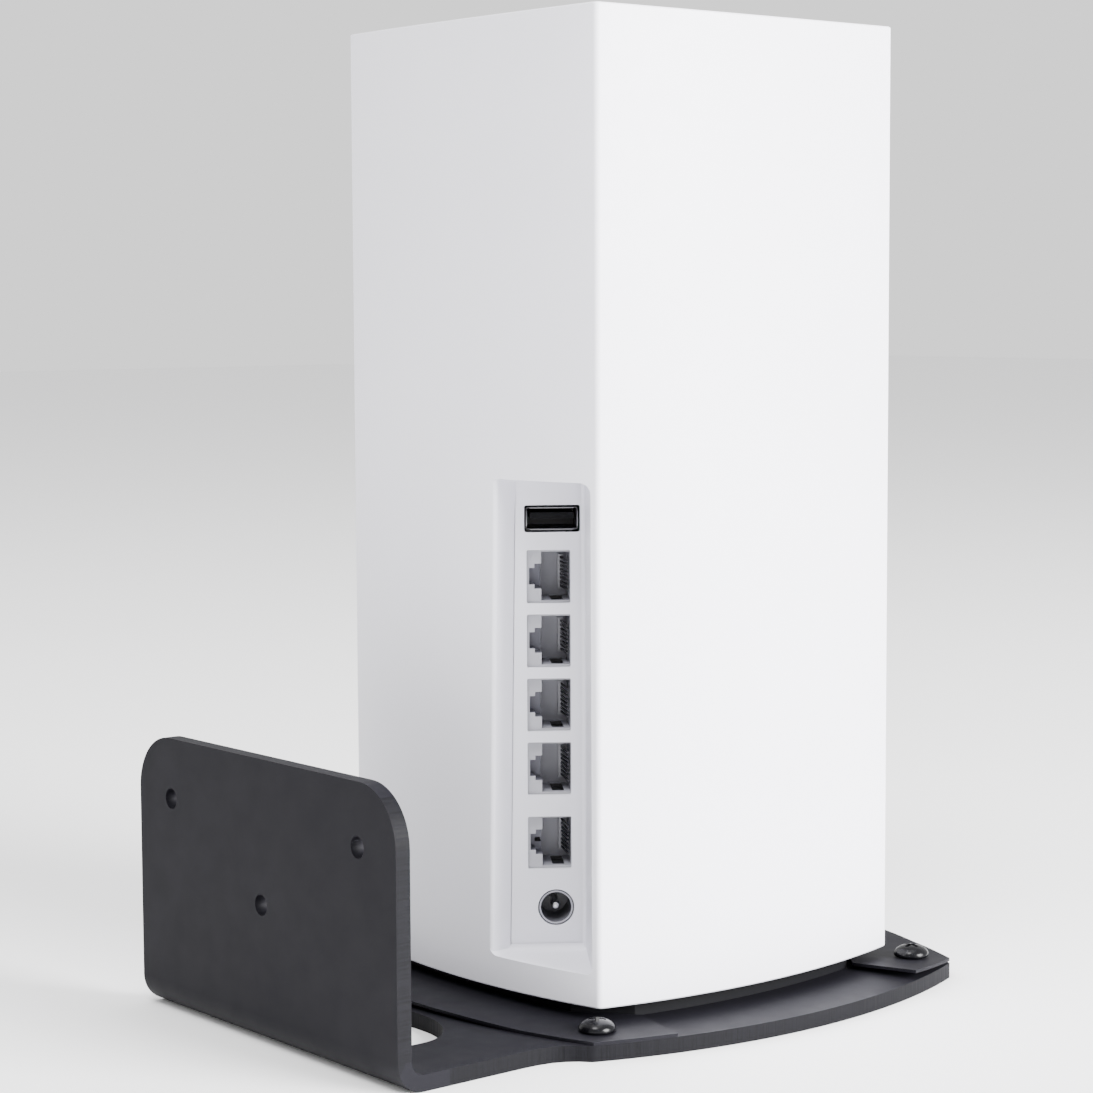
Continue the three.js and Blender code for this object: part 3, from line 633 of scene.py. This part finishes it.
def is_shaded_slot(centre, front, has_plug_slot):
    """Picks the insides of the narrow slots in a jack's floor and keyway, which take a painted shade black.
    """
    in_floor = front + 1.5 < centre.y < front + 12.5 and -7.2 < centre.z < -6.2 and 0.5 < centre.x < 4.3
    in_keyway = front + 6.1 < centre.y < front + 10.5 and centre.x < -1.8 and abs(centre.z) < 1.4
    return in_floor or (has_plug_slot and in_keyway)


def build_jack(has_plug_slot):
    front = JACK_FRONT
    body = box(-6.3, 6.9, front, front + 15.5, -7.6, 7.6)
    tools = [box(-1.75, 5.45, front - 1, front + 13, -6.15, 6.15),
             box(-3.45, -1.7, front - 1, front + 6, -3.13, 3.13),
             box(-4.8, -3.4, front - 1, front + 6, -2.07, 2.07),
             box(0.9, 3.9, front + 2, front + 12, -6.95, -6.1)]
    if has_plug_slot:
        tools.append(box(-3.4, -1.7, front + 5, front + 10, -1.1, 0.1))
    jack = soften(tidy(cut(body, *tools)), 0.12, 2)
    paint(jack, jack_grey)
    # Painted shade: the cavity walls take a darker grey and the keyway a much darker one.
    paint_where(jack, cavity_shade_grey, lambda c, n: front + 0.4 < c.y < front + 14 and abs(c.z) < 7.2
                and -6 < c.x < 6)
    paint_where(jack, keyway_shade_grey, lambda c, n: front + 0.4 < c.y < front + 6.5 and -6 < c.x < -1.72
                and abs(c.z) < 3.3)
    # Painted shade: the slots in the floor and keyway are painted black.
    return paint_where(jack, hollow_shade_black, lambda c, n: is_shaded_slot(c, front, has_plug_slot))


def build_contacts():
    """Eight sprung contact wires that slope back from the front of the socket."""
    near, far = Vector((4.95, 3.2)), Vector((3.75, 13.3))
    side = Vector((0.17, 0.02))
    strip = box(3.1, 4.5, 12.6, 13.9, -4.4, 4.4)
    wires = []
    for i in range(8):
        z = (i - 3.5) * 1.02
        plan = [near - side, near + side, far + side, far - side]
        wires.append(prism([tuple(p) for p in plan], z - 0.24, z + 0.24))
    comb = soften(tidy(join(strip, *wires)), 0.06, 2)
    paint(comb, contact_metal)
    return paint_where(comb, jack_grey, lambda c, n: c.y > 12.4)


def build_usb():
    wide, tall = 6.55, 2.85
    outer = side_prism(rounded_rect(-wide, wide, -tall, tall, 0.5, 4), 0.5, 15)
    inner = side_prism(rounded_rect(0.3 - wide, wide - 0.3, 0.3 - tall, tall - 0.3, 0.25, 3), -1, 14.2)
    notches = [box(x - 0.95, x + 0.95, -1, 1.7, z - 0.95, z + 0.95)
               for x in (-wide, wide) for z in (-tall, tall)]
    can = soften(tidy(cut(outer, inner, *notches)), 0.07, 2)
    # Painted shade: the can's steel is made dark.
    paint(can, can_shade_metal)
    # Painted shade: the can's inside is painted black.
    paint_where(can, hollow_shade_black, lambda c, n: c.y > 1.2 and abs(c.x) < wide - 0.15
                and abs(c.z) < tall - 0.15 and c.y < 14.5)
    tongue = soften(box(-5.6, 5.6, 1.4, 13.9, -0.1, 1.55), 0.25, 2)
    paint(tongue, plastic_black)
    port_piece(can, "usb_can", "steel", ["usb_shell"], *USB_AT)
    port_piece(tongue, "usb_insert", "black_plastic", ["usb_tongue"], *USB_AT)


def build_power():
    body = box(-5.4, 5.4, JACK_FRONT, 15.5, -5.6, 6.2)
    collar = turned([(0, 0.15), (4.3, 0.15), (4.3, JACK_FRONT + 1), (0, JACK_FRONT + 1)], 56, axis="Y")
    bore = turned([(0, -1), (3.85, -1), (3.85, 12.5), (0, 12.5)], 56, axis="Y")
    jack = soften(tidy(cut(join(body, collar), bore)), 0.14, 2)
    paint(jack, barrel_grey)
    # The front ring takes the cavity's painted shade grey, lighter than the barrel.
    paint_where(jack, cavity_shade_grey, lambda c, n: c.y < 0.4)
    tip = [(0, 2), (0.4, 2.04), (0.8, 2.25), (1.05, 2.7), (1.05, 12.2), (0, 12.2)]
    pin = turned(tip, 28, axis="Y")
    paint(pin, steel)
    port_piece(jack, "dc_socket", "black_plastic", ["dc_jack_body"], *POWER_AT)
    port_piece(pin, "dc_pin", "steel", ["dc_center_pin"], *POWER_AT)


def build_ports():
    build_panel()
    for i, z in enumerate([*LAN_Z, WAN_Z]):
        is_wan = i == len(LAN_Z)
        socket = "wan_jack" if is_wan else f"lan_jack_{i + 1}"
        wires = "wan_contacts" if is_wan else f"lan_contacts_{i + 1}"
        port_piece(build_jack(is_wan), f"{socket}_housing", "jack_grey", [socket], JACK_X, z)
        port_piece(build_contacts(), f"{wires}_sprung", "contact_gold", [wires], JACK_X, z)
    build_usb()
    build_power()


# ---- Bracket -----------------------------------------------------------------------
def shelf_edge(along):
    return SHELF_MID - SHELF_RADIUS + math.sqrt(SHELF_RADIUS ** 2 - along ** 2)


def shelf_outline(steps=72):
    end = SHELF_CORNER - 1.2
    run = [-end + 2 * end * i / steps for i in range(steps + 1)]
    right = [(shelf_edge(t), t) for t in run]
    front = [(t, -shelf_edge(t)) for t in run]
    left = [(-x, y) for x, y in reversed(right)]
    waist = [(62, 62.5), (59.6, 64.7), (57.7, 67.2), (56.4, 70.3), (55.7, 74), (NECK_HALF, 78)]
    other = [(-x, y) for x, y in reversed(waist)]
    corner = SHELF_CORNER - 0.6
    return [*front, (corner, -corner), *right, *waist, (NECK_HALF, 100), (-NECK_HALF, 100), *other,
            *left, (-corner, -corner)]


def angle_profile():
    """The wall plate and its bend, in Y and Z."""
    bend = WALL_FACE - BEND_OUTER
    inner = BEND_OUTER - PLATE
    return [(90, 0), *arc(bend, BEND_OUTER, BEND_OUTER, -90, 0, 16), (WALL_FACE, PLATE_TOP),
            (WALL_FACE - PLATE, PLATE_TOP), *arc(bend, BEND_OUTER, inner, 0, -90, 16), (90, PLATE)]


def cable_cutout():
    half, low, high, corner, wide, deep = 33.8, 76.6, 104.5, 9, 20, 15
    return [*arc(half - wide, low + deep, wide, -90, 0, 20, deep),
            *arc(half - corner, high - corner, corner, 0, 90, 12),
            *arc(corner - half, high - corner, corner, 90, 180, 12),
            *arc(wide - half, low + deep, wide, 180, 270, 20, deep)]


def build_bracket():
    strip = skin([[(x, y, z) for y, z in angle_profile()] for x in (-NECK_HALF, NECK_HALF)], "angle")
    front = rounded_rect(-NECK_HALF, NECK_HALF, -20, PLATE_TOP, [1, 1, PLATE_ROUND, PLATE_ROUND], 20)
    angle = common(strip, side_prism(front, 80, 130))
    bracket = join(prism(shelf_outline(), 0, PLATE), angle)
    access = rounded_rect(-ACCESS_HALF, ACCESS_HALF, -ACCESS_HALF, ACCESS_HALF, ACCESS_ROUND, 12)
    tools = [prism(cable_cutout(), -1, PLATE + 1), prism(access, -1, PLATE + 1)]
    for x, z in WALL_HOLES:
        hole = [(0, WALL_FACE - 8), (WALL_HOLE_RADIUS, WALL_FACE - 8),
                (WALL_HOLE_RADIUS, WALL_FACE + 2), (0, WALL_FACE + 2)]
        tools.append(shift(turned(hole, 40, axis="Y"), x, 0, z))
    for x, y in CORNER_SCREWS:
        tools.append(shift(turned([(0, -1), (2.2, -1), (2.2, 6), (0, 6)], 24), x, y, 0))
    bracket = soften(tidy(cut(bracket, *tools)), 0.28, 2, 40)
    paint(bracket, bracket_black)
    # Painted shade: the cut edges take darker colours than the faces.
    paint_where(bracket, edge_around_shade, lambda c, n: abs(n.z) < 0.3 and c.z < PLATE and c.y < 98)
    paint_where(bracket, edge_upright_shade, lambda c, n: abs(n.y) < 0.3 and c.y > WALL_FACE - PLATE
                and abs(n.x) > 0.5 and abs(c.x) > 50)
    to_metres(smooth(bracket), BRACKET)
    return stand_for(bracket, "bracket_plate", ["wall_bracket"])


# ---- Retainer sheets and their screws -----------------------------------------------
TAB_ROOT = (50.6, 37.2)
STRIP_END = 41.6
PLINTH_INSET = 4.9
BOW_HALF = 43.0


def retainer_stations():
    """Pairs of outer and inner plan points, from one tab round to the sheet's middle."""
    end = SHELF_CORNER - 2.2
    corner = SHELF_CORNER - 0.6
    tab = [STRIP_END + (end - STRIP_END) * i / 12 for i in range(13)]
    side = [end - end * i / 30 for i in range(31)]
    outer = [*[(shelf_edge(t), t) for t in tab], (corner, corner), *[(t, shelf_edge(t)) for t in side]]
    root = (TAB_ROOT[1], face_offset(TAB_ROOT[1], PLINTH_INSET - 0.5))
    turn = 19
    pairs = []
    for i, point in enumerate(outer):
        part = i / turn
        if part <= 1:
            inner = [TAB_ROOT[k] + part * (root[k] - TAB_ROOT[k]) for k in (0, 1)]
        else:
            along = root[0] * (1 - (i - turn) / (len(outer) - 1 - turn))
            inner = [along, face_offset(along, PLINTH_INSET - 0.5)]
        pairs.append((point, inner))
    return pairs


def middle_bow(x):
    return 0.9 * max(0, 1 - (x / BOW_HALF) ** 2)


def front_lift(x, y):
    """The front sheet springs up at one tab."""
    if x < 0:
        return middle_bow(x)
    pull = min(1, max(0, (SCREW_AT + 8 - y) / 22))
    return middle_bow(x) + 0.5 * min(1, x / BOW_HALF) + 0.9 * pull * max(0, (x - 38) / 20)


def build_retainer(name, node, facing, lift):
    half = retainer_stations()
    other = [[(-x, y) for x, y in pair] for pair in reversed(half[:-1])]
    rings = []
    for pair in [*half, *other]:
        low = [(x, y, PLATE + 0.03 + lift(x, y)) for x, y in pair]
        high = [(x, y, z + STRIP) for x, y, z in low]
        rings.append([low[0], low[1], high[1], high[0]])
    sheet = skin(rings, name)
    if facing < 0:
        sheet.data.transform(Matrix.Rotation(math.pi, 4, "Z"))
    holes = [shift(turned([(0, 3), (2.3, 3), (2.3, 10), (0, 10)], 24), x, y, 0)
             for x, y in CORNER_SCREWS]
    sheet = soften(tidy(cut(sheet, *holes)), 0.12, 2, 50)
    paint(sheet, sheet_black)
    to_metres(smooth(sheet), BRACKET)
    return stand_for(sheet, f"{name}_sheet", [node])


def build_pan_screw(index, x, y, raised):
    """A pan head with a cross recess whose walls taper."""
    seat = PLATE + STRIP + (1.1 if raised else 0.22)
    head, tall, shaft = 4.6, 3.0, seat - 0.4
    dome = [(head * math.cos(a), 0.5 + (tall - 0.5) * math.sin(a))
            for a in [math.radians(84 * i / 10) for i in range(11)]]
    profile = [(0, -shaft), (1.95, -shaft), (1.95, 0), (head - 0.25, 0), (head, 0.2), *dome, (0, tall)]
    screw = turned(profile, 48)
    for turn in (0, 1):
        wing = skin([[(-1.1, -0.35, 1.2), (1.1, -0.35, 1.2), (1.1, 0.35, 1.2), (-1.1, 0.35, 1.2)],
                     [(-2.6, -0.6, 3.3), (2.6, -0.6, 3.3), (2.6, 0.6, 3.3), (-2.6, 0.6, 3.3)]])
        wing.data.transform(Matrix.Rotation(math.radians(90 * turn + 20 + 25 * index), 4, "Z"))
        cut(screw, wing)
    screw = soften(tidy(screw), 0.1, 2, 40)
    paint(screw, screw_black)
    shift(screw, x, y, seat)
    to_metres(smooth(screw), BRACKET)
    return stand_for(screw, f"pan_screw_{index}", [f"retainer_screw_{index}"])


def build_bracket_parts():
    build_bracket()
    build_retainer("rear", "retainer_strip_rear", 1, lambda x, y: middle_bow(x))
    build_retainer("front", "retainer_strip_front", -1, front_lift)
    corners = [(-SCREW_AT, SCREW_AT), (SCREW_AT, SCREW_AT), (-SCREW_AT, -SCREW_AT), (SCREW_AT, -SCREW_AT)]
    for i, (x, y) in enumerate(corners):
        build_pan_screw(i + 1, x, y, x < 0 and y < 0)


# ---- Foot, buttons and switch, about the tower's axis ---------------------------------
PLINTH_LOW = -4.25
PLINTH_CHAMFER = 85.5
FLOOR_TOP = -1.75
FOOT_AT = 38
WPS = (-15, 6, 4.0)
RESET = (-15, -12, 1.7)
SWITCH_X = 11
SWITCH_HALF = (6.5, 9.5)
BASE_SCREWS = ((27, 0), (-27, 0), (0, 29), (0, -29))
ROCKER_PIVOT = -2.2
ROCKER_TILT = math.radians(9)


def tower_piece(piece, name, nodes, body="root", angle=30):
    to_metres(smooth(tidy(piece), angle), TOWER)
    return stand_for(piece, name, nodes, body)


def post(radius, x, y, z0, z1, sides=32):
    return shift(turned([(0, z0), (radius, z0), (radius, z1), (0, z1)], sides), x, y, 0)


def plinth_solid(inset, chamfer, z0, z1):
    half = HALF_WIDTH
    end = chamfer - half
    octagon = [(half, -end), (half, end), (end, half), (-end, half),
               (-half, end), (-half, -end), (-end, -half), (end, -half)]
    return common(prism(tower_outline(inset, 32), z0, z1), prism(octagon, z0 - 1, z1 + 1))


def build_plinth():
    ledge = prism(tower_outline(WALL + 0.4, 32), 0.4, 2.2)
    tray = join(plinth_solid(PLINTH_INSET, PLINTH_CHAMFER, PLINTH_LOW, 3.8), ledge)
    tray = cut(tray, plinth_solid(PLINTH_INSET + 2.3, PLINTH_CHAMFER - 2.6, FLOOR_TOP, 6))
    tools = [post(4.8, x, y, PLINTH_LOW - 1, PLINTH_LOW + 1.3)
             for x in (-FOOT_AT, FOOT_AT) for y in (-FOOT_AT, FOOT_AT)]
    for side in (-1, 1):
        for row in (-3, -2, -1, 1, 2, 3):
            tools.append(prism(rounded_rect(row * 6 - 1.2, row * 6 + 1.2, side * 24 - 4,
                                            side * 24 + 4, 1.15, 6), -6, 0))
    seat = PLINTH_LOW + 1.4
    for x, y in BASE_SCREWS:
        profile = [(0, -6), (3.3, -6), (3.3, seat), (1.8, seat), (1.8, 0), (0, 0)]
        tools.append(shift(turned(profile, 32), x, y, 0))
    tools += [post(WPS[2] + 0.35, WPS[0], WPS[1], -6, 0), post(RESET[2] + 0.35, RESET[0], RESET[1], -6, 0)]
    wide, long = SWITCH_HALF[0] + 0.25, SWITCH_HALF[1] + 0.25
    tools.append(box(SWITCH_X - wide, SWITCH_X + wide, -long, long, -6, 0))
    tray = soften(tidy(cut(tray, *tools)), 0.2, 2, 40)
    paint(tray, plastic_black)
    return tower_piece(tray, "plinth_tray", ["base_plinth"])


def build_feet():
    top = PLINTH_LOW + 1.1
    low = PLATE - SHELL_LIFT + 0.02
    corners = [(-FOOT_AT, FOOT_AT), (FOOT_AT, FOOT_AT), (-FOOT_AT, -FOOT_AT), (FOOT_AT, -FOOT_AT)]
    for i, (x, y) in enumerate(corners):
        profile = [(0, low), (4.0, low), (4.3, low + 0.12), (4.4, low + 0.4), (4.4, top), (0, top)]
        foot = paint(shift(turned(profile, 40), x, y, 0), rubber)
        tower_piece(foot, f"foot_pad_{i + 1}", [f"rubber_foot_{i + 1}"], angle=60)


def build_base_screws():
    seat = PLINTH_LOW + 1.3
    for i, (x, y) in enumerate(BASE_SCREWS):
        profile = [(0, -1.2), (1.9, -1.2), (2.5, -1.0), (2.9, -0.6), (2.9, 0), (1.5, 0), (1.5, 9.5),
                   (0, 9.5)]
        screw = turned(profile, 32)
        cut(screw, box(-1.4, 1.4, -0.3, 0.3, -2, -0.5), box(-0.3, 0.3, -1.4, 1.4, -2, -0.5))
        screw = paint(soften(tidy(screw), 0.06, 2, 40), screw_black)
        shift(screw, x, y, seat)
        tower_piece(screw, f"underside_screw_{i + 1}", [f"base_screw_{i + 1}"])


def build_button(name, node, place_at, sizes, material):
    """A round cap with a flange that holds it in and a stem that reaches its switch."""
    x, y, radius = place_at
    face, flange, stem, top = sizes
    profile = [(0, face + 0.12), (radius * 0.6, face + 0.07), (radius - 0.45, face),
               (radius - 0.12, face + 0.14), (radius, face + 0.5), (radius, FLOOR_TOP + 0.3),
               (flange, FLOOR_TOP + 0.3), (flange, FLOOR_TOP + 1.1), (stem, FLOOR_TOP + 1.1),
               (stem, top), (0, top)]
    cap = paint(shift(turned(profile, 40), x, y, 0), material)
    return tower_piece(cap, name, [node], node, 40)


def build_switch():
    wide, long = SWITCH_HALF
    can = prism(rounded_rect(SWITCH_X - wide, SWITCH_X + wide, -long, long, 0.6, 4), -4.9, 2.6)
    bezel = rounded_rect(SWITCH_X - wide - 1, SWITCH_X + wide + 1, -long - 1, long + 1, 1, 6)
    flange = prism(bezel, -5.2, -4.4)
    hollow = box(SWITCH_X - wide + 1.4, SWITCH_X + wide - 1.4, 1.4 - long, long - 1.4, -8, 1.6)
    housing = paint(soften(tidy(cut(join(can, flange), hollow)), 0.15, 2), plastic_black)
    tower_piece(housing, "switch_frame", ["power_switch_housing"])
    side = [(-6.9, -3.4), (-3.4, -2.7), (-1, -2.34), (0, -2.3), (1, -2.34), (3.4, -2.7), (6.9, -3.4),
            (6.4, -0.4), (2.5, 1.2), (-2.5, 1.2), (-6.4, -0.4)]
    half = wide - 1.7
    rocker = skin([[(x, y, z) for y, z in side] for x in (-half, half)], "rocker")
    rocker = soften(rocker, 0.3, 3, 12)
    rocker.data.transform(Matrix.Rotation(-ROCKER_TILT, 4, "X"))
    shift(paint(rocker, plastic_black), SWITCH_X, 0, ROCKER_PIVOT)
    tower_piece(rocker, "switch_rocker", ["power_switch_rocker"], "power_rocker")


def build_underside():
    build_plinth()
    build_feet()
    build_base_screws()
    build_button("wps_cap", "wps_button", WPS, (-4.9, 5.4, 1.6, 2.4), port_white)
    build_button("reset_cap", "reset_button", RESET, (-3.6, 2.9, 1.2, 2.6), bracket_black)
    build_switch()


# ---- Parts seen only through gaps, shown as the CAD has them -------------------------
INNER = {
    "status_light_lens": (lens, 0.25), "light_guide": (lens, 0.15), "led_board": (board_green, 0.1),
    "main_board": (board_green, 0.1), "button_board": (board_green, 0.1),
    "shield_can_1": (steel, 0.3), "shield_can_2": (steel, 0.3),
    "heatsink_outer": (aluminium, 0.2), "heatsink_inner": (aluminium, 0.2),
    "wps_tact_switch": (steel, 0.2), "reset_tact_switch": (steel, 0.2),
    "inner_frame": (plastic_black, 0.25),
    **{f"antenna_{i}": (board_green, 0.1) for i in range(1, 7)},
    **{f"frame_screw_{i}": (steel, 0.12) for i in range(1, 5)},
}


def dress_inner_parts():
    for name, (material, width) in INNER.items():
        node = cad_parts[name]
        paint(node, material)
        step = node.modifiers.new("edge", "BEVEL")
        step.width = width * MM
        step.segments = 2
        step.limit_method = "ANGLE"
        step.angle_limit = math.radians(40)


# ---- Floor, light and camera -----------------------------------------------------------
FLOOR_HALF = 6                    # metres


def build_stage():
    corners = ((-FLOOR_HALF, -FLOOR_HALF), (FLOOR_HALF, -FLOOR_HALF), (FLOOR_HALF, FLOOR_HALF),
               (-FLOOR_HALF, FLOOR_HALF))
    rings = [[(x, y, z) for x, y in corners] for z in (-0.05, 0)]
    floor = skin(rings, "floor")
    pale = new_material("floor_pale", (0.93, 0.93, 0.935), 0.7)
    rough(pale, noise(pale, 0.004, 2.0), 0.66, 0.74)
    paint(floor, pale)


def soft_light(name, location, size, power, target=(0, 0, 0.12)):
    data = bpy.data.lights.new(name, "AREA")
    data.shape = "DISK"
    data.size = size
    data.energy = power
    lamp = bpy.data.objects.new(name, data)
    bpy.context.scene.collection.objects.link(lamp)
    lamp.location = location
    away = Vector(location) - Vector(target)
    lamp.rotation_euler = away.to_track_quat("Z", "Y").to_euler()


def build_lights():
    soft_light("key", (-1.5, -0.5, 0.6), 1.0, 140)
    soft_light("fill", (-0.4, 0.75, 1.6), 0.7, 26)
    soft_light("above", (-0.1, 0.1, 1.9), 1.4, 14)
    world = bpy.data.worlds.new("studio")
    world.use_nodes = True
    glow = world.node_tree.nodes["Background"]
    glow.inputs["Color"].default_value = (1, 1, 1, 1)
    glow.inputs["Strength"].default_value = 1.3
    bpy.context.scene.world = world


CAMERA_AT = Vector((-0.5411, 0.4483, 0.1800))
CAMERA_YAW, CAMERA_PITCH, CAMERA_ROLL = 0.8843, 0.0904, -0.0049


def build_camera():
    data = bpy.data.cameras.new("camera")
    data.sensor_width = 36
    data.lens = 88.96
    camera = bpy.data.objects.new("camera", data)
    bpy.context.scene.collection.objects.link(camera)
    flat = math.cos(CAMERA_PITCH)
    back = Vector((-math.sin(CAMERA_YAW) * flat, math.cos(CAMERA_YAW) * flat, math.sin(CAMERA_PITCH)))
    right = (-back).cross(Vector((0, 0, 1))).normalized()
    up = right.cross(-back)
    turn = Matrix.Rotation(CAMERA_ROLL, 3, back)
    axes = Matrix((turn @ right, turn @ up, back)).transposed()
    camera.matrix_world = Matrix.Translation(CAMERA_AT) @ axes.to_4x4()
    bpy.context.scene.camera = camera


build_shell()
build_top()
build_ports()
build_bracket_parts()
build_underside()
dress_inner_parts()
build_stage()
build_lights()
build_camera()
